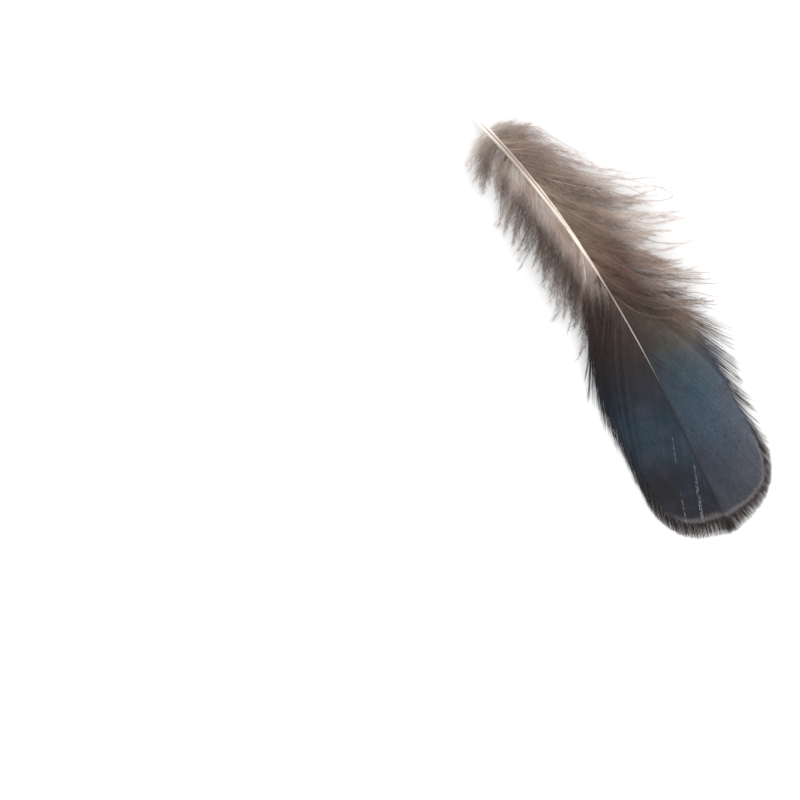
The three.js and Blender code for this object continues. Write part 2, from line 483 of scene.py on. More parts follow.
# %% Paths of the vane's barbs
VANE_START = 0.42  # the share of the shaft where the vane begins
VANE_BARBS = 112
ROOT_CROWDING = 2.0  # barbs stand closer on the shaft near the vane's first barb
RIM_HEIGHT = 0.14
DROOP = 1.5  # above one, a barb stays high and drops late, which gives the vane its rounded roof
ROOT_ANGLES = (44.0, 14.0)  # degrees off the shaft at the first and at the last barb
BARB_CURL = 0.48  # how far along its reach a barb has its bend
RIM_LEAD = 0.35  # how far the barbs' tips run ahead of their roots, which bends the barbs to the tip


def vane_paths(side, rows, steps, stretch=0.0, ends=None):
    """Points (rows, steps, 3) from the shaft to the rim. stretch lengthens or shortens each barb."""
    at = mix(VANE_START, 1.0, rows**ROOT_CROWDING)
    root = on_shaft(at)
    ends = rows if ends is None else ends
    tip = rim_point(side, ends + RIM_LEAD * ends * (1 - ends))
    reach = np.linalg.norm(tip - root[:, :2], axis=1)
    angle = shaft_angle(at) + side * np.radians(mix(*ROOT_ANGLES, rows))
    leave = np.stack([np.sin(angle), np.cos(angle)], 1) * (reach * BARB_CURL)[:, None]
    share = np.linspace(0, 1, steps)[None] * (1 + np.asarray(stretch) / reach)[:, None]
    t = share[..., None]
    start, bend, end = root[:, None, :2], (root[:, :2] + leave)[:, None], tip[:, None]
    flat = (1 - t) ** 2 * start + 2 * t * (1 - t) * bend + t**2 * end
    height = mix(root[:, None, 2], RIM_HEIGHT, np.clip(share, 0, 1.0) ** DROOP)
    return np.concatenate([flat, height[..., None]], 2)


SHORT_ROWS = [0, 0.1, 0.2, 0.35, 0.5]
SHORT_BY = [4.2, 2.6, 1.3, 0.5, 0.0]  # the closed vane's first left barbs stop this far before the rim
TIDY_RIGHT = {"loose": 0.3, "short": 0.4}  # as shares of what the left half's barbs do
TIP_STRAY = (-0.1, 0.08)  # how far barbs' tips pass the rim: the middle and the spread, in millimetres
TIP_SHORT = 0.25  # towards the tip the strips stop this share of the fringe's width before the rim


def rim_stretch(side, rows, draw):
    """How far each barb's tip goes past the rim"""
    loose = ease(0.7, 0.25, rows) * (1.0 if side == LEFT else TIDY_RIGHT["loose"])
    short = np.interp(rows, SHORT_ROWS, SHORT_BY) * (1.0 if side == LEFT else TIDY_RIGHT["short"])
    short += ease(0.4, 0.75, rows) * TIP_SHORT * np.interp(rows, *FRINGE[side])
    past = loose * draw.uniform(0.0, 0.7, len(rows))
    back = ease(0.3, 0.1, rows) * draw.uniform(0.0, 2.2, len(rows))
    return draw.normal(*TIP_STRAY, len(rows)) + (past - back) - short


ends = vane_paths(LEFT, np.array([0.0, 0.5, 1.0]), 9)[:, (0, -1), :2]
print("first, middle and last barb reach", np.round(np.linalg.norm(ends[:, 1] - ends[:, 0], axis=1), 1), "mm")

# %% [markdown]
# ## From paths to strips
#
# Each strip is a row of five-cornered cross-sections with triangles between them. A strip is as wide as
# the gap to the next barb, and a bit more, where the vane is closed. Where it opens the width drops to a
# hair's. On the picture for the bake, the strips lie under each other as long flat bands. A few barbs on
# the right half get a painted highlight, where real ones lie at another angle and catch the light. They are
# marked here by their place.

# %% Strips of the closed vane
STATIONS = 28  # cross-sections along a strip
RIDGE = 0.010  # how far the ridge rises over the barb's path
MIDDLE = (0.55, 0.4)  # where the top bends: across as a share of the gap, and its height as one of the ridge
TUCK = 1.3  # a strip reaches this share of the way to the next barb's ridge
TUCK_DROP = 0.6  # its edge drops by this share of the ridge's height
STRIP_DEPTH = 0.05
HAIR_WIDTH = 0.055
NO_GAP = 1e-6  # added to a gap, so that none is zero
CLOSED_BETWEEN = (0.62, 0.98)  # shares of the fringe's width between which the vane closes
TIP_WIDTH = 0.4
STRIP_TONE = (0.5, 0.18)  # the middle and the spread of the strips' tones
WAVER, HEIGHT_WAVER = 0.0006, 0.002  # how far barbs stray from even steps along the rim, and in height
STRIP_SPOTS = [0.06, 0.34, 0.68, 0.74, 0.9, 0.94]  # points round a strip, across its band of the picture
TOP_POINTS = [1.0, 1.0, 0.0, 0.0, 0.0]  # the ridge and the middle face the eye
# A few barbs get a painted highlight:
HIGHLIGHT_STREAKS = {  # X and Y of a point on the barb in millimetres, and between which Y it shines
    LEFT: [],
    RIGHT: [
        (5.25, 17.2, 16.0, 18.5), (5.45, 23.0, 19.8, 26.4),
        (5.85, 23.6, 21.9, 26.2), (7.95, 24.0, 22.2, 25.8),
    ],
}


def strip_widths(rows, inside, gaps):
    """Each strip's width at its stations, as a share of the gap to the next barb"""
    share = np.linspace(0, 1, STATIONS)
    opening = ease(0.1, 0.0, rows)[:, None] * ease(0.5, 0.85, share)  # the first barbs part early
    closed = ease(*CLOSED_BETWEEN, inside) * (1 - opening)
    width = mix(np.minimum(HAIR_WIDTH / gaps, 1.0), 1.0, closed)
    width *= 1 - ease(0.8, 1.0, share) * mix(0.0, 0.75, ease(0.4, 0.1, rows))[:, None]
    width[:, -1] *= TIP_WIDTH
    return width


def strip_section(grid, toward, width):
    """Five points round each strip at each station: ridge, middle, edge, and under the edge and ridge"""
    across, rise = MIDDLE
    ridge = grid + UP * (RIDGE * width)[..., None]
    middle = grid + toward * (across * width)[..., None] + UP * (rise * RIDGE * width)[..., None]
    edge = grid + toward * (TUCK * width)[..., None] - UP * (TUCK_DROP * RIDGE)
    depth = UP * (STRIP_DEPTH * mix(0.5, 1, width))[..., None]
    return np.stack([ridge, middle, edge, edge - depth, grid - depth], axis=2)


def strip_faces(steps, sides):
    """The triangles of a closed strip, and which of the spots across its band each of their corners has"""
    faces, turns = [], []
    for step in range(steps - 1):
        for k in range(sides):
            a, b = step * sides + k, step * sides + (k + 1) % sides
            faces += [(a, b, a + sides), (b, b + sides, a + sides)]
            turns += [(k, k + 1, k), (k + 1, k + 1, k)]
    last = (steps - 1) * sides
    for k in range(1, sides - 1):
        faces += [(0, k + 1, k), (last, last + k, last + k + 1)]
        turns += [(0, k + 1, k), (0, k, k + 1)]
    return np.array(faces), np.array(turns)


def find_highlight_streaks(side, grid):
    """1 at the stations of the barbs that get a painted highlight, and 0 at the others"""
    streak = np.zeros(grid.shape[:2])
    for x, y, first, last in HIGHLIGHT_STREAKS[side]:
        nearest = np.linalg.norm(grid[..., :2] - (x, y), axis=2).min(1).argmin()
        bright = (grid[nearest, :, 1] > first) & (grid[nearest, :, 1] < last)
        streak[nearest] = np.maximum(streak[nearest], bright)
        print("streak on barb", nearest, "at", int(streak[nearest].sum()), "stations")
    return streak


def make_vane(name, side, seed):
    draw = np.random.default_rng(seed)
    rows = np.linspace(0, 1, VANE_BARBS + 1)
    ends = rows + draw.normal(0, WAVER, len(rows))
    grid = vane_paths(side, rows, STATIONS, rim_stretch(side, rows, draw), ends)
    toward = np.diff(grid, axis=0)  # from each barb to the next
    grid, rows = grid[:-1], rows[:-1]
    inside = fringe_share(side, grid)
    width = strip_widths(rows, inside, np.linalg.norm(toward, axis=2) + NO_GAP)
    grid = grid + draw.normal(0, HEIGHT_WAVER, len(grid))[:, None, None] * UP
    section = strip_section(grid, toward, width)
    count, steps, sides = section.shape[:3]
    along = np.cumsum(np.linalg.norm(np.diff(grid, axis=1, prepend=grid[:, :1]), axis=2), axis=1)
    faces, turns = strip_faces(steps, sides)
    if side == RIGHT:  # a mirrored strip is inside out, so its triangles run the other way round
        faces, turns = faces[:, ::-1], turns[:, ::-1]
    triangles = faces[None] + (np.arange(count) * steps * sides)[:, None, None]
    u = along[:, faces // sides] / along.max()
    v = (np.arange(count)[:, None, None] + np.array(STRIP_SPOTS)[turns][None]) / count
    spots = np.stack(np.broadcast_arrays(u, v), 3).reshape(-1, 2)
    total = count * steps * sides
    looks = {
        "inside": spread(inside, total),
        "tone": spread(np.clip(draw.normal(*STRIP_TONE, count), 0.15, 0.85), total),
        "along": spread(along, total),
        "across": np.tile([0.0, 0.5, 1.0, 1.0, 0.0], count * steps),
        "streak": np.outer(find_highlight_streaks(side, grid), TOP_POINTS).ravel(),
    }
    return joined(name, section.reshape(-1, 3), triangles.reshape(-1, 3), looks, spots)


vanes = [make_vane("vane_left", LEFT, 3), make_vane("vane_right", RIGHT, 4)]

# %% [markdown]
# ## Hairs along a barb
#
# A barb carries barbules on both sides. In the down they are long and loose, and at the rim of the vane
# they are short and lie close to the barb. Both come from one function: it picks places along each
# barb, turns away from it to one side, up or down, and bends back towards the barb's own direction.

# %% Barbules
ANGLE_SPREAD = (0.6, 1.4)  # chance turns a hair by this share of the angle asked for
SIZE_SPREAD = (0.55, 1.15)  # and gives it this share of the length
YOUNG_SIZE, YOUNG_UNTIL = 0.4, 0.14  # the first hairs on a barb are shorter
FIRST_LEG = 0.45  # the share of a hair before its bend
BENT_TURN, BENT_SPREAD = 0.55, 0.3  # past the bend a hair keeps about this share of its angle


def barbules(paths, seed, pitch, length, angle, lift, start, end, taper, crowd=1.0):
    """Paths (count, 3, 3) of hairs along barbs (barbs, steps, 3), the number of each hair's barb, and
    its share of the way along it.

    pitch and length are in millimetres, angle and lift in degrees. start and end are the shares of a
    barb between which hairs grow, taper is the share of the length that is left at the barb's tip, and a
    crowd above one draws the hairs towards the start.
    """
    draw = np.random.default_rng(seed)
    total = np.linalg.norm(np.diff(paths, axis=1), axis=2).sum(1)
    pairs = np.maximum((total * (end - start) / pitch).astype(int), 2)
    barb = np.repeat(np.arange(len(paths)), pairs * 2)
    count = len(barb)
    share = mix(start, end, draw.uniform(0, 1, count) ** crowd)
    place = share * (paths.shape[1] - 1)
    first = np.minimum(place.astype(int), paths.shape[1] - 2)
    a, b = paths[barb, first], paths[barb, first + 1]
    way = (b - a) / (np.linalg.norm(b - a, axis=1, keepdims=True) + TINY)
    side = np.where(np.arange(count) % 2, 1.0, -1.0)[:, None]
    aside = np.cross(way, UP) * side
    turn = np.radians(angle * draw.uniform(*ANGLE_SPREAD, count))[:, None]
    rise = np.radians(draw.normal(0, lift, count))[:, None]
    out = aside * np.cos(rise) + UP * np.sin(rise)
    size = np.broadcast_to(length, len(paths))[barb] * mix(1.0, taper, share**1.2)
    size = size * draw.uniform(*SIZE_SPREAD, count) * mix(YOUNG_SIZE, 1.0, ease(0.0, YOUNG_UNTIL, share))
    late = BENT_TURN + BENT_SPREAD * draw.standard_normal(count)[:, None]
    points = [a + (b - a) * (place - first)[:, None]]
    for leg, bend in ((FIRST_LEG, 1.0), (1 - FIRST_LEG, late)):
        direction = way * np.cos(turn * bend) + out * np.sin(turn * bend)
        points.append(points[-1] + direction * (size * leg)[:, None])
    return np.stack(points, 1), barb, share


DOWN_HAIR = dict(angle=38, lift=30, start=0.04, end=0.92, taper=0.22, crowd=1.15)
WISP_HAIR = dict(pitch=0.16, length=1.3, angle=26, lift=25, start=0.0, end=0.8, taper=0.15, crowd=1.3)
SOFT_HAIR = dict(pitch=0.16, length=1.5, angle=24, lift=10, start=0.04, end=0.8, taper=0.3, crowd=0.9)
FRINGE_HAIR = dict(pitch=0.1, angle=11, lift=12, start=0.0, end=0.85, taper=0.4)
trial = barbules(vane_paths(LEFT, np.array([0.5]), 9), 1, **SOFT_HAIR)[0]
print("a vane's middle barb would carry", len(trial), "soft hairs")

# %% [markdown]
# ## The down
#
# Down barbs leave the quill steeply and swing outwards. Each has hundreds of fine barbules that stick
# to nothing, so together they look like smoke. A row of numbers gives the length and the two angles
# of a barb by its place on the shaft. Neighbours cling together in locks, and chance does the rest.

# %% Paths of the down's barbs
DOWN_AT = [0.052, 0.065, 0.085, 0.10, 0.115, 0.127, 0.2, 0.3, 0.38, 0.47]
DOWN_LENGTH = [4.2, 6.6, 9.3, 11.4, 13.0, 18.6, 19.8, 19.9, 19.0, 14.0]
DOWN_ROOT = [88, 82, 70, 60, 48, 38, 30, 25, 23, 24]  # degrees off the shaft's way at a barb's root
DOWN_TIP = [60, 46, 34, 26, 30, 64, 70, 68, 60, 46]  # and at its tip
DOWN_SWING = [0.7, 0.7, 0.8, 1.0, 1.5, 2.0, 2.0, 1.9, 1.8, 1.5]  # above one, a barb swings out late
DOWN_RIGHT = [1.0, 0.95, 0.8, 0.62, 0.56, 0.55, 0.56, 0.62, 0.66, 0.7]  # how long a right barb is to a left
RIGHT_SWING = 0.74  # the right down's tips turn outwards less
DOWN_STEPS = 16
LOCK_PITCH = 0.02  # the share of the shaft that one lock's barbs grow on
LOCK_PULL = 0.5  # how far a barb's tip is drawn towards its lock's middle, at most
ARCH_TOP, ARCH_UNDER = 0.8, -0.6  # the upper layers arch up, and the lower ones sag, by so much
ARCH_OVER = 1.0  # a layer is an upper one if its lowest tips lie above this
ROOT_DEPTH = 0.15
LOCK_LEAN, LOCK_REACH = 9, (0.84, 1.04)  # chance leans a lock by degrees and scales its length
WAVE_PITCH, WAVE_START, WAVE_SIZE = (4, 10), (0, 6), (4, 17)  # radians, radians, degrees at root and tip
BARB_LEAN = ([0.1, 0.14], [15, 8])  # degrees that a barb strays from its lock, by place on the shaft
BARB_REACH, BARB_WAVE = (0.72, 1.06), 0.9
LEAN_LIFT = 0.03  # millimetres that a barb rises for each degree of its lean
LOCK_TONE, BARB_TONE = 0.2, 0.16


def swung(side, at, turn, long, tip_height, arch):
    """Barbs from their places on the shaft, the way they turn at each leg, and their lengths"""
    steps = turn.shape[1] + 1
    angle = side * np.radians(turn)
    legs = np.stack([np.sin(angle), np.cos(angle)], 2) * (long / (steps - 1))[:, None, None]
    root = on_shaft(at)
    flat = np.cumsum(np.concatenate([root[:, None, :2], legs], 1), 1)
    share = np.linspace(0, 1, steps)[None]
    height = mix(root[:, 2:] - ROOT_DEPTH, tip_height[:, None], share) + arch * np.sin(np.pi * share)
    return np.concatenate([flat, height[..., None]], 2)


def down_paths(side, count, seed, heights, reach, span):
    """Barbs of one layer of down, with tips between two heights and roots in a span of the shaft"""
    draw = np.random.default_rng(seed)
    own_at = np.sort(draw.uniform(*span, count))
    lock = np.floor(own_at / LOCK_PITCH).astype(int)
    locks = lock.max() + 1
    leg = (np.arange(DOWN_STEPS - 1) + 0.5) / (DOWN_STEPS - 1)
    lock_lean = draw.normal(0, LOCK_LEAN, locks)
    lock_reach = draw.uniform(*LOCK_REACH, locks) * reach
    lock_height = draw.uniform(*heights, locks)
    wave_pitch, wave_start = draw.uniform(*WAVE_PITCH, locks)[lock], draw.uniform(*WAVE_START, locks)[lock]

    def layer(at, lean, longer, wave_shift):
        """Barbs that differ from their locks by a lean, a share of the length, and a shift of the wave"""
        root = np.interp(at, DOWN_AT, DOWN_ROOT)
        tip = np.interp(at, DOWN_AT, DOWN_TIP) + lock_lean[lock] + lean
        long = np.interp(at, DOWN_AT, DOWN_LENGTH) * lock_reach[lock] * longer
        if side == RIGHT:
            tip *= mix(1.0, RIGHT_SWING, ease(0.12, 0.2, at))
            long *= np.interp(at, DOWN_AT, DOWN_RIGHT)
        wave = np.sin(leg[None] * wave_pitch[:, None] + wave_start[:, None] + wave_shift[:, None])
        swing = leg[None] ** np.interp(at, DOWN_AT, DOWN_SWING)[:, None]
        turn = mix(root[:, None], tip[:, None], swing) + wave * mix(*WAVE_SIZE, leg[None])
        height = np.clip(lock_height[lock] + lean * LEAN_LIFT, *heights)
        return swung(side, at, turn, long, height, ARCH_TOP if heights[0] > ARCH_OVER else ARCH_UNDER)

    lean = draw.normal(0, 1, count) * np.interp(own_at, *BARB_LEAN)
    own = layer(own_at, lean, draw.uniform(*BARB_REACH, count), draw.normal(0, BARB_WAVE, count))
    nothing = np.zeros(count)
    heart = layer((lock + 0.5) * LOCK_PITCH, nothing, 1.0, nothing)  # the middle of each barb's lock
    tones = draw.normal(0.5, LOCK_TONE, locks)[lock] + draw.normal(0, BARB_TONE, count)
    pull = (np.linspace(0, 1, DOWN_STEPS) ** 2)[None, :, None] * LOCK_PULL
    return mix(own, heart, pull * draw.uniform(0.0, 1.0, count)[:, None, None]), tones, own_at


print("down barbs are", min(DOWN_LENGTH), "to", max(DOWN_LENGTH), "mm long")

# %% [markdown]
# ## Layers of down
#
# Real down is loose in depth as well as in width, so each side gets layers: one over the others, one or
# two under it that show through its gaps, and a small one for the last down barbs below the vane. One
# thick layer would cost as many hairs and look like felt.

# %% The layers
HAIR_AT = [0.1, 0.34, 0.39, 0.43, 0.47]
HAIR_LENGTH = [1.0, 1.0, 0.8, 0.5, 0.35]  # the last down barbs are nearly bare
BARB_THICKNESS = ([0, 0.1, 0.5, 1], [0.06, 0.045, 0.032, 0.016])  # a barb's radius from root to tip
HAIR_THICKNESS = np.array([0.0155, 0.012])
HAIR_PALENESS = [0, 0, 0, 0.08, 0.08, 0.08, 0.15]  # a hair's three root points, its bend and its tip
LENGTH_SPREAD, WIDTH_SPREAD = (0.75, 1.25), (0.8, 1.2)
FAR_WIDTH, FAR_PALENESS = 0.65, 0.85  # how thin and how pale the hairs at a barb's tip are
STEM_LIGHTER, STEM_PALENESS = 0.3, 0.3
HAIR_TONE = 0.14  # how far chance takes a hair's tone from its barb's
DOWN_LAYERS = {  # heights of the tips, pitch and length of the hairs in millimetres
    "down_left_top": dict(side=LEFT, count=70, seed=11, heights=(1.3, 2.7)),
    "down_left_middle": dict(side=LEFT, count=58, seed=12, heights=(0.5, 1.5), reach=0.92, pitch=0.12),
    "down_left_under": dict(
        side=LEFT, count=46, seed=15, heights=(0.1, 0.9), reach=0.72, pitch=0.14, length=2.4,
    ),
    "down_left_last": dict(
        side=LEFT, count=25, seed=17, heights=(0.6, 1.4), reach=0.84, pitch=0.14, length=2.2,
        span=(0.30, 0.42),
    ),
    "down_right_top": dict(side=RIGHT, count=84, seed=13, heights=(1.3, 2.5)),
    "down_right_under": dict(side=RIGHT, count=66, seed=14, heights=(0.1, 1.2), pitch=0.14, length=2.4),
    "down_right_last": dict(
        side=RIGHT, count=22, seed=16, heights=(0.8, 1.7), reach=1.12, pitch=0.13, length=2.2,
        span=(0.35, 0.465),
    ),
}
WHOLE_SPAN = (DOWN_AT[0], DOWN_AT[-1])


def make_down(name, side, count, seed, heights, reach=1.0, pitch=0.1, length=2.1, span=WHOLE_SPAN):
    draw = np.random.default_rng(seed + 100)
    barbs, tone, at = down_paths(side, count, seed, heights, reach, span)
    barbs = kept_in_box(barbs)
    lengths = length * np.interp(at, HAIR_AT, HAIR_LENGTH) * draw.uniform(*LENGTH_SPREAD, count)
    hairs, barb, share = barbules(barbs, seed + 200, pitch=pitch, length=lengths, **DOWN_HAIR)
    thick = np.interp(np.linspace(0, 1, DOWN_STEPS - 1), *BARB_THICKNESS)
    fine = HAIR_THICKNESS * (draw.uniform(*WIDTH_SPREAD, len(hairs)) * mix(1.0, FAR_WIDTH, share))[:, None]
    hair_tone = tone[barb] + draw.normal(0, HAIR_TONE, len(hairs))
    hair_pale = share[:, None] * FAR_PALENESS + np.array(HAIR_PALENESS)
    looks = {"tone": (tone + STEM_LIGHTER, hair_tone), "pale": (STEM_PALENESS, hair_pale)}
    return hairy(name, (barbs, thick), (hairs, fine), looks)


downs = [make_down(name, **layer) for name, layer in DOWN_LAYERS.items()]

# %% [markdown]
# ## Single wisps
#
# A few barbs have worked loose from their locks. The eye picks these out first against white paper, so
# each is drawn through a few points: where it parts from the others, where it bends, where it ends. They
# carry fewer and shorter hairs than the rest.

# %% Loose barbs
WISPS = {  # in millimetres, across from the axis and up from the quill's end, each from the down outwards
    "long_curl": [(-8.0, 15.5), (-11.5, 18.0), (-14.0, 19.4), (-15.2, 21.0), (-16.2, 21.3)],
    "under_curl": [(-8.5, 17.5), (-12.0, 20.2), (-14.6, 21.6), (-15.8, 21.0)],
    "straight": [(-7.5, 20.0), (-11.0, 22.8), (-13.9, 24.1), (-16.0, 25.0)],
    "upper_edge": [(-6.0, 10.0), (-8.8, 13.4), (-10.6, 15.0), (-12.8, 17.0)],
    "pale": [(-7.6, 22.0), (-10.6, 25.2), (-13.2, 27.0), (-15.4, 27.4)],
    "first_dark": [(-7.6, 25.6), (-10.6, 29.2), (-13.0, 31.0), (-14.9, 32.3)],
    "second_dark": [(-7.4, 27.4), (-10.2, 30.4), (-12.8, 32.4), (-14.6, 33.6)],
    "third_dark": [(-7.2, 28.6), (-9.6, 31.4), (-11.8, 33.2), (-13.6, 35.0)],
    "fourth_dark": [(-7.2, 29.2), (-9.4, 32.2), (-11.2, 34.4), (-12.6, 36.4)],
    "upper_lock": [(-5.4, 10.8), (-8.1, 13.9), (-11.0, 16.3), (-13.4, 18.9)],
    "lower_lock": [(-5.6, 12.2), (-8.4, 15.2), (-10.8, 17.3), (-12.7, 20.2)],
    "lock_curl": [(-5.8, 11.6), (-8.2, 14.6), (-11.6, 16.9), (-14.3, 18.4), (-15.0, 19.8)],
    "short_hump": [(-4.6, 6.4), (-6.2, 8.6), (-7.2, 10.8), (-7.6, 13.0)],
    "hump_edge": [(-3.6, 4.6), (-5.2, 6.0), (-6.6, 7.8), (-7.9, 10.2)],
}
WISP_THICKNESS = (0.03, 0.016)  # at the root and before the tip
WISP_TONE = (0.6, 0.1)  # a wisp's stem goes darker towards its tip
WISP_HAIR_TONE, WISP_HAIR_PALENESS = 0.6, 0.8
WISP_HAIR_WIDTH = [0.012, 0.01]
WISP_ROOT_HEIGHT, WISP_TIP_HEIGHT = (1.2, 2.0), (0.6, 1.8)


def make_wisps(name, seed):
    draw = np.random.default_rng(seed)
    share = np.linspace(0, 1, DOWN_STEPS)
    paths = []
    for points in WISPS.values():
        flat = spline(points, share) + (AXIS_X, QUILL_Y)
        height = mix(draw.uniform(*WISP_ROOT_HEIGHT), draw.uniform(*WISP_TIP_HEIGHT), share)
        paths.append(np.concatenate([flat, height[:, None]], 1))
    barbs = kept_in_box(np.array(paths))
    hairs = barbules(barbs, seed + 1, **WISP_HAIR)[0]
    thick = np.linspace(*WISP_THICKNESS, DOWN_STEPS - 1)
    fade = np.append(np.repeat(np.linspace(*WISP_TONE, DOWN_STEPS - 1), SPIKE_SIDES), WISP_TONE[1])
    looks = {"tone": (np.tile(fade, len(barbs)), WISP_HAIR_TONE), "pale": (0.0, WISP_HAIR_PALENESS)}
    return hairy(name, (barbs, thick), (hairs, WISP_HAIR_WIDTH), looks)


downs.append(make_wisps("down_wisps", 41))

# %% [markdown]
# ## Where down turns into vane
#
# The vane's first barbs are half of each kind. They lie flat like the vane's, carry short soft hairs, and
# their bare tips stand out past the rim one by one, each bent a little outwards.

# %% The half-downy barbs
SOFT_ROWS = {LEFT: 0.34, RIGHT: 0.5}  # they grow up to this row of the vane
SOFT_BARBS = {LEFT: 62, RIGHT: 54}
SOFT_REACH = {LEFT: 1.0, RIGHT: 0.5}  # the right rim is tidier
SOFT_STEPS = 24
SOFT_THICKNESS = ([0, 0.7, 1], [0.016, 0.045, 0.018])  # thickest where they leave the closed vane
LONE_SHARE = 0.4  # the share of them that stand out past the rim
LONE_PAST, OTHERS_SHORT = (0.3, 1.0), (1.0, 4.5)  # by how much those pass the rim and the others miss it
FIRST_PAST, LAST_PAST = 1.8, 0.2  # the first barbs stand out further than the last
STEADY = 0.15  # the share of looseness that even the last ones keep
BACK = 0.2  # and all of them end this much earlier
BEND_FROM, BEND = 0.66, (9, 17)  # the share of a barb after which its tip bends outwards, and how much
SOFT_LIFT = 0.1
SOFT_TONE = (0.85, 0.2)
SOFT_HAIR_WIDTH = [0.014, 0.011]


def make_soft(name, side, seed):
    draw = np.random.default_rng(seed)
    rows = np.sort(1 - np.sqrt(draw.uniform(0, 1, SOFT_BARBS[side]))) * SOFT_ROWS[side]
    count, reach = len(rows), SOFT_REACH[side]
    loose = 1 - rows / SOFT_ROWS[side]
    lone = draw.uniform(0, 1, count) < LONE_SHARE
    past = draw.uniform(*LONE_PAST, count) * mix(LAST_PAST, FIRST_PAST, loose) * reach
    short = draw.uniform(*OTHERS_SHORT, count) * (STEADY + loose) * reach
    barbs = vane_paths(side, rows, SOFT_STEPS, np.where(lone, past, -short) - BACK)
    share = np.linspace(0, 1, SOFT_STEPS)
    bend = np.clip(share - BEND_FROM, 0, 1) ** 2 * draw.uniform(*BEND, count)[:, None] * reach
    barbs[..., 0] += side * bend * (STEADY + loose)[:, None]
    barbs[..., 2] += draw.uniform(0.0, SOFT_LIFT, count)[:, None]
    barbs = kept_in_box(barbs)
    hairs, barb, share = barbules(barbs, seed + 1, **SOFT_HAIR)
    downy = mix(0.05, 1.0, loose[barb] ** 1.5) * ease(0.95, 0.6, share + lone[barb] * 0.2)
    keep = draw.uniform(0, 1, len(hairs)) < downy
    thick = np.interp(np.linspace(0, 1, SOFT_STEPS - 1), *SOFT_THICKNESS)
    tone = draw.normal(*SOFT_TONE, count)
    looks = {"tone": (tone, tone[barb[keep]])}
    return hairy(name, (barbs, thick), (hairs[keep], SOFT_HAIR_WIDTH), looks, side)


softs = [make_soft("soft_left", LEFT, 31), make_soft("soft_right", RIGHT, 32)]

# %% [markdown]
# ## The fringe
#
# Past the last hooks each barb's tip stands alone, with short hairs close along it. At the vane's first
# barbs these tips are longest, bend outwards and are nearly bare. The stems follow the same paths as the
# strips, so they come out of the closed vane in its own direction and no seam shows.

# %% Hairs of the fringe
STEMS_PER_BARB = 1.25
ROW_JITTER = (0.15, 0.85)
STEM_HEIGHT = (0.02, 0.03)  # over the vane's own paths: the middle and the spread
STEM_DARKER, DARK_OFTEN, STEM_HAIR_TONE = 0.7, 1.6, 0.12  # more stems are dark than light
TIP_FAN = 7  # stems that fill the gap between the two sides at the very tip
FAN_START, FAN_LEAN, FAN_SHORT = 0.97, 0.3, 0.3  # the fan's first row, how it leans, how much it is shorter
FREE_DEPTH = {LEFT: 3.0, RIGHT: 2.4}  # how deep the first stems start, in widths of the fringe
WHOLE_STEPS, FREE_STEPS = 60, 8
STEM_THICKNESS = [0.02, 0.046, 0.05, 0.044, 0.038, 0.032, 0.026]  # thin where a stem leaves the vane
FRINGE_HAIR_WIDTH = [0.016, 0.012]
FRINGE_HAIR_LENGTH = 0.42
COMBED_RIGHT = 0.2  # how combed the right half's first stems are; the left half's are fully so
COMBED_SHORTER, COMBED_BARER = 0.6, 0.85
COMBED_STRAY, COMBED_BEND = (-0.9, 0.5), (0.6, 1.5)
FIRST_RIGHT_ROW = 0.05  # soft barbs do without a fringe before this row
LEFT_THINNED = 0.42  # the share of the left half's first stems that stay


def fringe_rows(side, draw):
    """The rows of the fringe's stems, with a fan of them at the very tip"""
    count = int(VANE_BARBS * STEMS_PER_BARB)
    rows = (np.arange(count) + draw.uniform(*ROW_JITTER, count)) / count
    rows = np.append(rows, np.linspace(FAN_START, 1.0, TIP_FAN))
    if side == RIGHT:
        return rows[rows > FIRST_RIGHT_ROW]
    return rows[draw.uniform(0, 1, len(rows)) < mix(LEFT_THINNED, 1.0, ease(0.35, 0.6, rows))]


def free_ends(side, rows, stretch):
    """The ends of barbs from where they leave the closed vane, in a few even steps"""
    whole = vane_paths(side, rows, WHOLE_STEPS, stretch)
    lean = np.linspace(0, 1, TIP_FAN)[:, None] * np.linspace(0, 1, WHOLE_STEPS) ** 1.5
    whole[-TIP_FAN:, :, 0] -= side * FAN_LEAN * lean
    depths = mix(FREE_DEPTH[side], 1.0, ease(0.0, 0.25, rows))
    tips = []
    for path, inside, depth in zip(whole, fringe_share(side, whole), depths):
        places = np.linspace(int(np.argmax(inside < depth)), WHOLE_STEPS - 1, FREE_STEPS)
        tips.append(np.stack([np.interp(places, np.arange(WHOLE_STEPS), line) for line in path.T], 1))
    return np.array(tips)


def make_fringe(name, side, seed):
    draw = np.random.default_rng(seed)
    rows = fringe_rows(side, draw)
    combed = ease(0.6, 0.3, rows) * (1.0 if side == LEFT else COMBED_RIGHT)  # these lie bare and apart
    stretch = draw.normal(*TIP_STRAY, len(rows)) + combed * draw.uniform(*COMBED_STRAY, len(rows))
    stretch[-TIP_FAN:] -= FAN_SHORT
    tips = free_ends(side, rows, stretch)
    tips[..., 2] += draw.normal(*STEM_HEIGHT, len(tips))[:, None]
    bend = np.linspace(0, 1, FREE_STEPS) ** 2 * (combed * draw.uniform(*COMBED_BEND, len(tips)))[:, None]
    tips[..., 0] += side * bend
    lengths = FRINGE_HAIR_LENGTH * (1 - COMBED_SHORTER * combed)
    hairs, barb, _ = barbules(tips, seed + 1, length=lengths, **FRINGE_HAIR)
    keep = draw.uniform(0, 1, len(hairs)) < 1 - COMBED_BARER * combed[barb]
    hairs, barb = hairs[keep], barb[keep]
    tone = draw.uniform(0, 1, len(tips)) ** DARK_OFTEN
    hair_tone = tone[barb] + draw.normal(0, STEM_HAIR_TONE, len(hairs))
    looks = {"tone": (tone * STEM_DARKER, hair_tone)}
    return hairy(name, (tips, STEM_THICKNESS), (hairs, FRINGE_HAIR_WIDTH), looks, side)


fringes = [make_fringe("fringe_left", LEFT, 21), make_fringe("fringe_right", RIGHT, 22)]

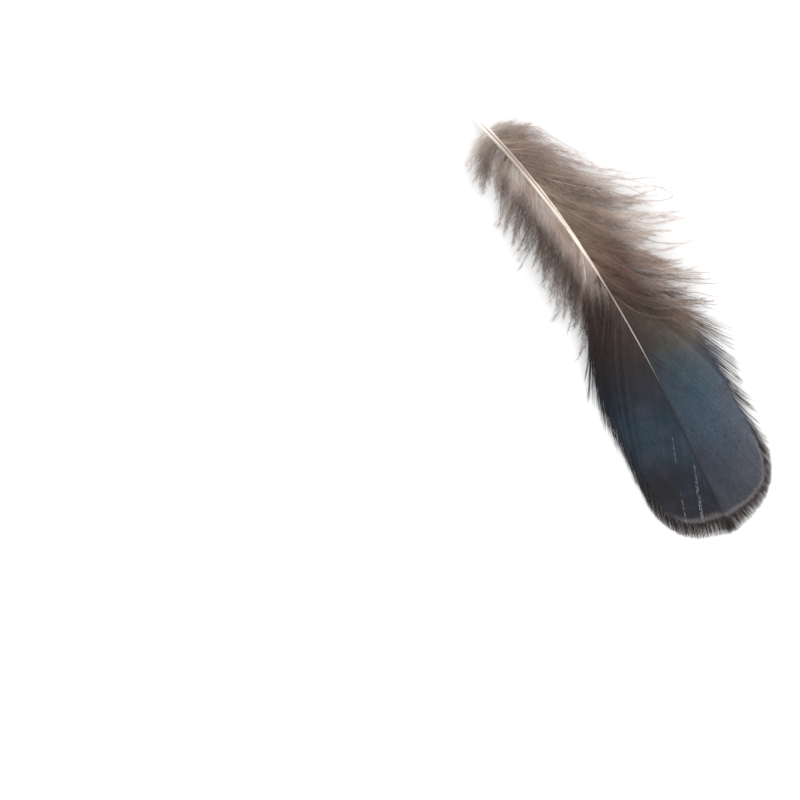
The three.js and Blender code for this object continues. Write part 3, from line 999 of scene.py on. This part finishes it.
# %% [markdown]
# ## The vane's finish
#
# On the bird the lower part of such a feather is hidden and brown. The part that shows is blue-green from
# thin layers in the barbs, and the rim, where nothing hooks together, is nearly black. A picture could be
# wrapped on, but colours that follow the place on the feather stay sharp from close by. So a ramp of
# colours runs up each half, masks by place and by `bow`, the distance from the shaft, lay patches over
# it, and values that the barbs carry set them apart.

# %% Looks that know their place on the feather
SPAN = TIP_Y - QUILL_Y


class FeatherLook(Look):
    """A look that measures in millimetres up from the quill's end and across from the shaft"""

    def __init__(self, name):
        super().__init__(name)
        self.up = self.axis("Y") / MM - QUILL_Y

    def zones(self, up, stops):
        """Colours by the distance from the quill's end"""
        return self.bands(up / SPAN, [(at / SPAN, colour(*shown)) for at, shown in stops])

    def amounts(self, up, stops):
        """Shares by the distance from the quill's end"""
        return self.bands(up / SPAN, [(at / SPAN, (share, share, share, 1)) for at, share in stops])


print("the looks' ramps run over", SPAN, "mm")

# %% The vane's ground colours
VANE_LEFT = [
    (24, (122, 101, 89)), (28, (104, 85, 76)), (32, (84, 70, 62)), (35, (70, 61, 55)), (36.8, (64, 63, 57)),
    (39, (48, 62, 69)), (42, (44, 63, 75)), (47, (51, 68, 81)), (51, (52, 62, 74)), (54, (55, 59, 69)),
    (57, (57, 58, 64)),
]
# The right half's colours are darker than the left's: part of that is painted shade, for the half that faces
# away from the light.
VANE_RIGHT = [
    (22, (96, 78, 69)), (27, (72, 59, 53)), (31, (54, 44, 41)), (34.5, (42, 37, 39)), (37.5, (33, 35, 41)),
    (40.5, (31, 45, 56)), (43, (31, 50, 62)), (46, (33, 49, 59)), (48.5, (28, 34, 45)), (52, (29, 31, 41)),
    (55, (35, 34, 42)), (57, (42, 40, 46)),
]
SHAFT_SHADE = [  # how dark the left half gets close to the shaft
    (28, 0.5), (36, 0.78), (40, 0.5), (43, 0.3), (47, 0.36), (50.5, 0.7), (54, 0.5), (58, 0.2),
]
DRIFT, DRIFT_SCALE = 3.0, 220.0  # zones wander up and down by half of this
RIGHT_LATER, RIGHT_SLOPE, SLOPE_UNTIL = 3.4, 0.6, 6.0  # the right half's zones lie later, and they slope


def vane_ground(look, bow):
    """Brown at the down and blue-green further up; the left half is lighter than the right one, partly
    because the right half's colours carry painted shade
    """
    up = look.up
    wandering = up + (look.noise(DRIFT_SCALE, 2.0) * DRIFT - DRIFT / 2)
    left = look.zones(wandering, VANE_LEFT)
    right = look.zones(wandering + bow.maths("MINIMUM", SLOPE_UNTIL) * RIGHT_SLOPE - RIGHT_LATER, VANE_RIGHT)
    # Paler towards the left half's rim, brown low down and grey higher up; low down it is also painted light
    # that lifts the shade of the down's hairs lying over it.
    rim_pale_and_painted_light = look.blend(look.step(up, 33.0, 42.0), colour(158, 136, 122), colour(100, 104, 112))
    outer = look.step(bow, -3.0, -8.0) * (0.8 - look.step(up, 32.0, 44.0) * 0.42)
    left = look.blend(outer, left, rim_pale_and_painted_light)
    shade = look.blend(look.step(up, 32.0, 40.0), colour(36, 28, 25), colour(36, 42, 53))
    left = look.blend(look.step(bow, -3.5, -0.3) * look.amounts(up, SHAFT_SHADE), left, shade)
    corner = look.step(bow, 2.8, 5.0) * look.between(up, 47.0, 50.0, 54.0, 58.0)
    right = look.blend(corner * 0.8, right, colour(26, 25, 26))
    return look.blend(look.step(bow, -0.05, 0.05), left, right)


vane = FeatherLook("vane")
vane_bow, vane_tone = vane.attribute("bow"), vane.attribute("tone")
surface = vane_ground(vane, vane_bow)
print("the ground takes", len(vane.tree.nodes), "nodes")

# %% [markdown]
# ### Patches, a fold's painted shade and freckles
#
# No real vane is even. Some barbs look purple or dull, and where the vane bends along a line it gets a
# painted shade. Noise at three scales gives the uneven parts, and a line drawn across the feather gives
# the fold's painted shade. Each is one more layer of colour through its own mask, as a painter would glaze.

# %% Uneven parts of the vane
FOLD_X, FOLD_UP = 9.85, 48.9  # a point on the fold's line: its X, and its distance from the quill's end
FOLD_WAY = (0.82, 0.57)  # the way across the fold
PURPLE_SCALE, CLOUD_SCALE, FRECKLE_SCALE = 420.0, 700.0, 2100.0


def vane_patches(look, surface, bow):
    """Purple patches, soft clouds, painted shade along one fold near the tip, and dark freckles"""
    up = look.up
    purple = look.step(look.noise(PURPLE_SCALE, 3.0), 0.42, 0.62) * look.step(up, 36.0, 42.0)
    surface = look.blend(purple * 0.16, surface, colour(74, 66, 86))
    surface = look.grey_over(0.3, surface, look.noise(CLOUD_SCALE, 4.0))
    # The fold: painted shade, a dark band along a line near the tip on the right half.
    line = (look.axis("X") / MM - FOLD_X) * FOLD_WAY[0] + (up - FOLD_UP) * FOLD_WAY[1]
    fold_shade = look.between(line, 0.0, 0.25, 1.0, 3.0) * (1 - look.step(up, 53.0, 55.0))
    surface = look.blend(fold_shade * look.step(bow, 1.0, 2.0) * 0.45, surface, colour(30, 31, 35))
    freckle = look.step(look.noise(FRECKLE_SCALE, 0.0), 0.775, 0.81) * look.step(up, 34.0, 38.0)
    return look.blend(freckle * 0.5, surface, colour(24, 28, 32))


surface = vane_patches(vane, surface, vane_bow)
print("with the patches", len(vane.tree.nodes), "nodes")

# %% [markdown]
# ### The rim
#
# Where the hooks end near the tip there is a pale line, and past it the barbs' free ends are dark. The
# mesh already knows how far each point is from the rim, as `inside`, so the mask is a step on that value,
# roughened with fine noise. Each free hair takes its own shade between dark and light from `tone`, and on
# the right rim below the tip the hairs get a painted shadow that makes them darker and greyer.

# %% The pale line and the dark fringe
EDGE_SCALE, EDGE_ROUGHNESS = 4200.0, 0.3


def fringe_hairs(look, tone, rim_shadow):
    """The fringe's colours: each hair between dark and light by its tone, and darker and greyer under the
    painted shadow on the right rim
    """
    share = look.step(tone, 0.05, 0.95)
    hair = look.blend(share, colour(36, 30, 29), colour(112, 98, 95))
    hair = look.blend((1 - look.step(look.up, 40.0, 48.0)) * 0.4, hair, colour(116, 106, 101))
    return look.blend(rim_shadow, hair, look.blend(share, colour(30, 29, 31), colour(66, 63, 66)))


def vane_rim(look, surface, bow, tone):
    """A pale line where the closed vane ends near the tip, and past it the dark fringe, with a painted shadow
    over the right rim below the tip
    """
    up = look.up
    edge = look.attribute("inside") + look.noise(EDGE_SCALE, 3.0) * EDGE_ROUGHNESS - EDGE_ROUGHNESS / 2
    pale = look.between(edge, 0.9, 1.06, 1.12, 1.42)
    pale = pale * look.step(up + look.step(bow, 1.0, -1.0) * 4.0, 53.0, 56.0)
    surface = look.blend(pale * 0.55, surface, colour(116, 109, 109))
    edge = edge + look.step(bow, 0.0, -1.0) * (1 - look.step(up, 48.0, 54.0)) * 0.3
    dark = (1 - look.step(edge, 0.7, 1.06)) * look.step(up + bow.maths("MINIMUM", 0.0) * 0.6, 32.0, 43.0)
    # Painted shadow on the right rim below the tip: its hairs turn darker and greyer there.
    rim_shadow = look.step(bow, 0.0, 1.0) * (1 - look.step(up, 50.0, 56.0))  # the right rim below the tip
    dark = dark * (1 - rim_shadow * (1 - look.step(up, 42.0, 50.0)) * 0.6)
    return look.blend(dark, surface, fringe_hairs(look, tone, rim_shadow))


surface = vane_rim(vane, surface, vane_bow, vane_tone)
print("with the rim", len(vane.tree.nodes), "nodes")

# %% [markdown]
# ### Strokes along the barbs
#
# From close by the vane is made of fine strokes that run along the barbs, crossed by tiny hooks. `along`
# and `across` are each strip's own measures, so noise that is stretched along them follows every barb
# round its bend. The same hooks feed the bump, so colour and relief agree.

# %% Strokes, hooks and the seam
HOOK_WAVE = 110.0  # radians of the wave for each millimetre of a barb
HOOK_SLANT = 4.0  # radians from a strip's ridge to its edge
GLINT_SCALE, SPECKLE_SCALE = 3400.0, 5200.0
STROKE_PITCH, STROKE_OFFSET = 2.6, 57.0  # strokes along a barb, and how far each barb's lie from the next's


def vane_strokes(look, surface, bow, tone):
    """A painted highlight on a few barbs, strokes and hooks along all of them, and a seam beside the shaft"""
    up, along = look.up, look.attribute("along")
    # A painted highlight, broken by fine noise, on the few barbs marked by their place.
    painted_highlight = look.attribute("streak") * look.step(look.noise(GLINT_SCALE, 2.0), 0.42, 0.52)
    surface = look.blend(painted_highlight * 0.5, surface, colour(132, 137, 144))
    hooks = (along * HOOK_WAVE + look.attribute("across") * HOOK_SLANT).maths("SINE") * 0.5 + 0.5
    lane = look.node("ShaderNodeCombineXYZ", None, {"X": along * STROKE_PITCH, "Y": tone * STROKE_OFFSET})
    strokes = look.step(look.noise(1.0, 3.0, lane), 0.3, 0.7)
    speckle = look.step(look.noise(SPECKLE_SCALE, 2.0), 0.25, 0.75)
    surface = look.grey_over(0.62, surface, tone * 0.3 + strokes * 0.3 + speckle * 0.2 + hooks * 0.2)
    seam = look.between(bow, 0.02, 0.1, 0.18, 0.5) * look.between(up, 38.0, 42.0, 56.0, 58.5)
    return look.blend(seam * 0.5, surface, colour(28, 30, 36)), hooks


surface, hooks = vane_strokes(vane, surface, vane_bow, vane_tone)
HOOK_HEIGHT = 0.00001  # metres
bump = vane.node("ShaderNodeBump", None, {"Strength": 0.3, "Distance": HOOK_HEIGHT, "Height": hooks})
shine = vane.step(vane.up, 34.0, 41.0)  # the blue-green part is smoother than the brown one
vane_look = vane.finish(
    Base_Color=surface, Roughness=0.74 - shine * 0.2, Metallic=shine * 0.15, Normal=bump,
    Specular_IOR_Level=0.3,
)

# %% [markdown]
# ## The down's finish
#
# Down is brown near the vane and paler towards the quill, and its thinnest ends are the palest, because
# light gets through them. Transparency would show that truly, but thousands of see-through hairs are slow
# and come out noisy. So the hairs stay solid, and those far from their barb's root are given a pale tone.

# %% The down's material
DOWN_NEAR = [  # the left half close to the shaft
    (3, (206, 193, 184)), (6, (176, 156, 144)), (10, (170, 150, 138)), (14, (176, 156, 143)),
    (19, (161, 140, 125)), (23, (144, 121, 108)), (26, (124, 101, 89)), (30, (108, 90, 82)),
    (34, (86, 74, 69)), (38, (64, 57, 55)),
]
DOWN_FAR = [  # the left half further out
    (6, (198, 182, 173)), (14, (206, 190, 181)), (19, (192, 172, 161)), (24, (184, 160, 147)),
    (28, (148, 121, 107)), (32, (126, 103, 92)), (36, (112, 95, 86)), (40, (80, 70, 65)),
]
# The right half: darker than the left one, and part of that darkness is painted shade.
DOWN_RIGHT_HALF = [
    (3, (200, 186, 177)), (6, (162, 144, 133)), (10, (138, 120, 110)), (14, (114, 97, 88)),
    (20, (108, 91, 82)), (26, (112, 94, 85)), (30, (84, 69, 64)), (34, (60, 50, 47)), (38, (48, 41, 40)),
    (42, (40, 36, 36)),
]
DOWN_CLOUD_SCALE = 380.0


def down_material():
    look = FeatherLook("down")
    up, bow = look.up, look.attribute("bow")
    left = look.blend(look.step(bow, -3.0, -8.0), look.zones(up, DOWN_NEAR), look.zones(up, DOWN_FAR))
    ends = look.step(bow, -8.5, -12.5) * (1 - look.step(up, 27.0, 32.0))
    left = look.blend(ends * 0.4, left, colour(226, 212, 206))
    glow = (1 - look.step(bow, 1.1, 3.2)) * look.between(up, 5.0, 12.0, 22.0, 30.0)  # beside the shaft
    right = look.blend(glow * 0.95, look.zones(up, DOWN_RIGHT_HALF), colour(224, 208, 199))
    base = look.blend(look.step(bow, -0.2, 0.2), left, right)
    tips = look.step(look.attribute("pale"), 0.4, 1.0) * 0.75 * (1 - look.step(up + bow, 25.0, 34.0))
    tips = tips * (1 - look.step(bow, 0.0, 1.5) * 0.7)
    base = look.blend(tips, base, colour(232, 220, 214))
    base = look.grey_over(0.35, base, look.noise(DOWN_CLOUD_SCALE, 3.0))
    base = look.grey_over(0.5, base, look.attribute("tone"))
    return look.finish(Base_Color=base, Roughness=0.85, Specular_IOR_Level=0.2)


down_look = down_material()

# %% [markdown]
# ## The quill's finish
#
# The quill is clear horn, nearly white where it is empty, and it darkens where it runs under the vane.
# The groove along its back gets a painted shade in the first part. It could be painted by hand, but the
# shaft's curve is known, so the shader works out how far a point lies from the curve's middle.

# %% The quill's material
QUILL_ZONES = [
    (0, (252, 250, 247)), (2.5, (246, 239, 231)), (4.5, (226, 212, 201)), (6.5, (188, 173, 162)),
    (9, (192, 178, 167)), (12, (240, 227, 214)), (21, (250, 236, 222)), (24, (215, 198, 184)),
    (27, (146, 130, 121)), (30, (166, 153, 144)), (34, (174, 163, 154)), (36, (142, 134, 128)),
    (38.5, (90, 88, 88)), (40, (52, 52, 58)), (60, (30, 31, 36)),
]
GROOVE_OFFSET = 0.07  # the dark line lies this far to the left of the middle


def shaft_middle(up):
    """Where the shaft's middle lies across the feather: the Bezier curve's cubic in its own numbers"""
    a, b, c, d = SHAFT[:, 0].tolist()
    t = up / float(SHAFT[3, 1] - SHAFT[0, 1])
    return a + t * (3 * (b - a)) + t * t * (3 * (a - 2 * b + c)) + t * t * t * (d - a + 3 * (b - c))


def shaft_material():
    look = FeatherLook("quill")
    up = look.up
    off = (look.axis("X") / MM - shaft_middle(up) + GROOVE_OFFSET).maths("ABSOLUTE")
    # Painted shade along the groove in the shaft's back, over its first part.
    groove = (1 - look.step(off, 0.03, 0.13)) * look.between(up, 0.5, 4.0, 12.0, 20.0)
    base = look.blend(groove * 0.85, look.zones(up, QUILL_ZONES), colour(118, 102, 92))
    return look.finish(Base_Color=base, Roughness=0.4, Specular_IOR_Level=0.4)


shaft_look = shaft_material()

# %% [markdown]
# ## Riding on the frame
#
# A real feather is one body, so the solid is one node and every piece here takes its place together. Each
# piece gets its finish and is told which body it moves with, and the solid that it replaces is hidden. Its
# slot holds the finish, so that a vane or a down can be recoloured later. Parenting by hand would do for a
# picture; here each piece rides on a named body. Parenting by hand would do for a picture, but the names
# are what the export reads.

# %% Pieces, finishes and slots
DRESSED = {
    "quill": (shaft_look, [shaft]),
    "vane": (vane_look, vanes + fringes + softs),
    "down": (down_look, downs),
}

for slot, (look, pieces) in DRESSED.items():
    for piece in pieces:
        piece.data.materials.clear()
        piece.data.materials.append(look)
        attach(piece, "root")
        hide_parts("feather")
    print(slot, "on", [piece.name for piece in pieces])

# %% [markdown]
# ## Floor, light and camera
#
# The feather lies on white paper under an even, bright sky, with one soft light from the upper right that
# gives the weak shadows. The camera looks straight down. A short lens from close by would show the raised
# parts too far out, so it is a very long lens from far away.

# %% The stage
VIEW_CENTRE = (29.95 * MM, -5.07 * MM)
VIEW_WIDTH = 96 * MM
VIEW_TURN = np.radians(147.95)  # how the feather lies in the picture
LENS, SENSOR = 400.0, 36.0
PAPER_SIZE, PAPER_SCALE = 3.0, 60.0
SKY_STRENGTH = 1.08
KEY_AT = (0.5, 0.6, 1.0)  # the light's direction: right and up in the picture, and towards the eye
KEY_DISTANCE, KEY_SIZE, KEY_POWER = 0.6, 0.6, 1.4

bpy.ops.object.select_all(action="DESELECT")
bpy.ops.mesh.primitive_plane_add(size=PAPER_SIZE, location=(0, 0, 0))
floor = bpy.context.object
floor.name = "floor"
paper = Look("paper")
sheet = paper.blend(paper.noise(PAPER_SCALE, 2.0), colour(247, 247, 247), colour(251, 251, 251))
floor.data.materials.append(paper.finish(Base_Color=sheet, Roughness=0.9))

world = bpy.data.worlds.new("studio")
world.use_nodes = True
sky = world.node_tree.nodes["Background"]
sky.inputs["Color"].default_value = WHITE
sky.inputs["Strength"].default_value = SKY_STRENGTH
bpy.context.scene.world = world

right, up, towards = KEY_AT
across = Vector((np.cos(VIEW_TURN), np.sin(VIEW_TURN), 0))
upright = Vector((-np.sin(VIEW_TURN), np.cos(VIEW_TURN), 0))
away = (across * right + upright * up + Vector((0, 0, towards))).normalized()
bpy.ops.object.light_add(type="AREA")
lamp = bpy.context.object
lamp.name = "key"
lamp.location = away * KEY_DISTANCE
lamp.rotation_euler = (-away).to_track_quat("-Z", "Y").to_euler()
lamp.data.size = KEY_SIZE
lamp.data.energy = KEY_POWER

bpy.ops.object.camera_add()
camera = bpy.context.object
camera.data.lens = LENS
camera.data.sensor_width = SENSOR
camera.data.clip_start = 0.01
camera.location = (*VIEW_CENTRE, VIEW_WIDTH * LENS / SENSOR)
camera.rotation_euler = Euler((0, 0, VIEW_TURN))
bpy.context.scene.camera = camera
bpy.context.scene.view_settings.view_transform = "Standard"
print("camera", round(camera.location.z, 3), "m above the paper")
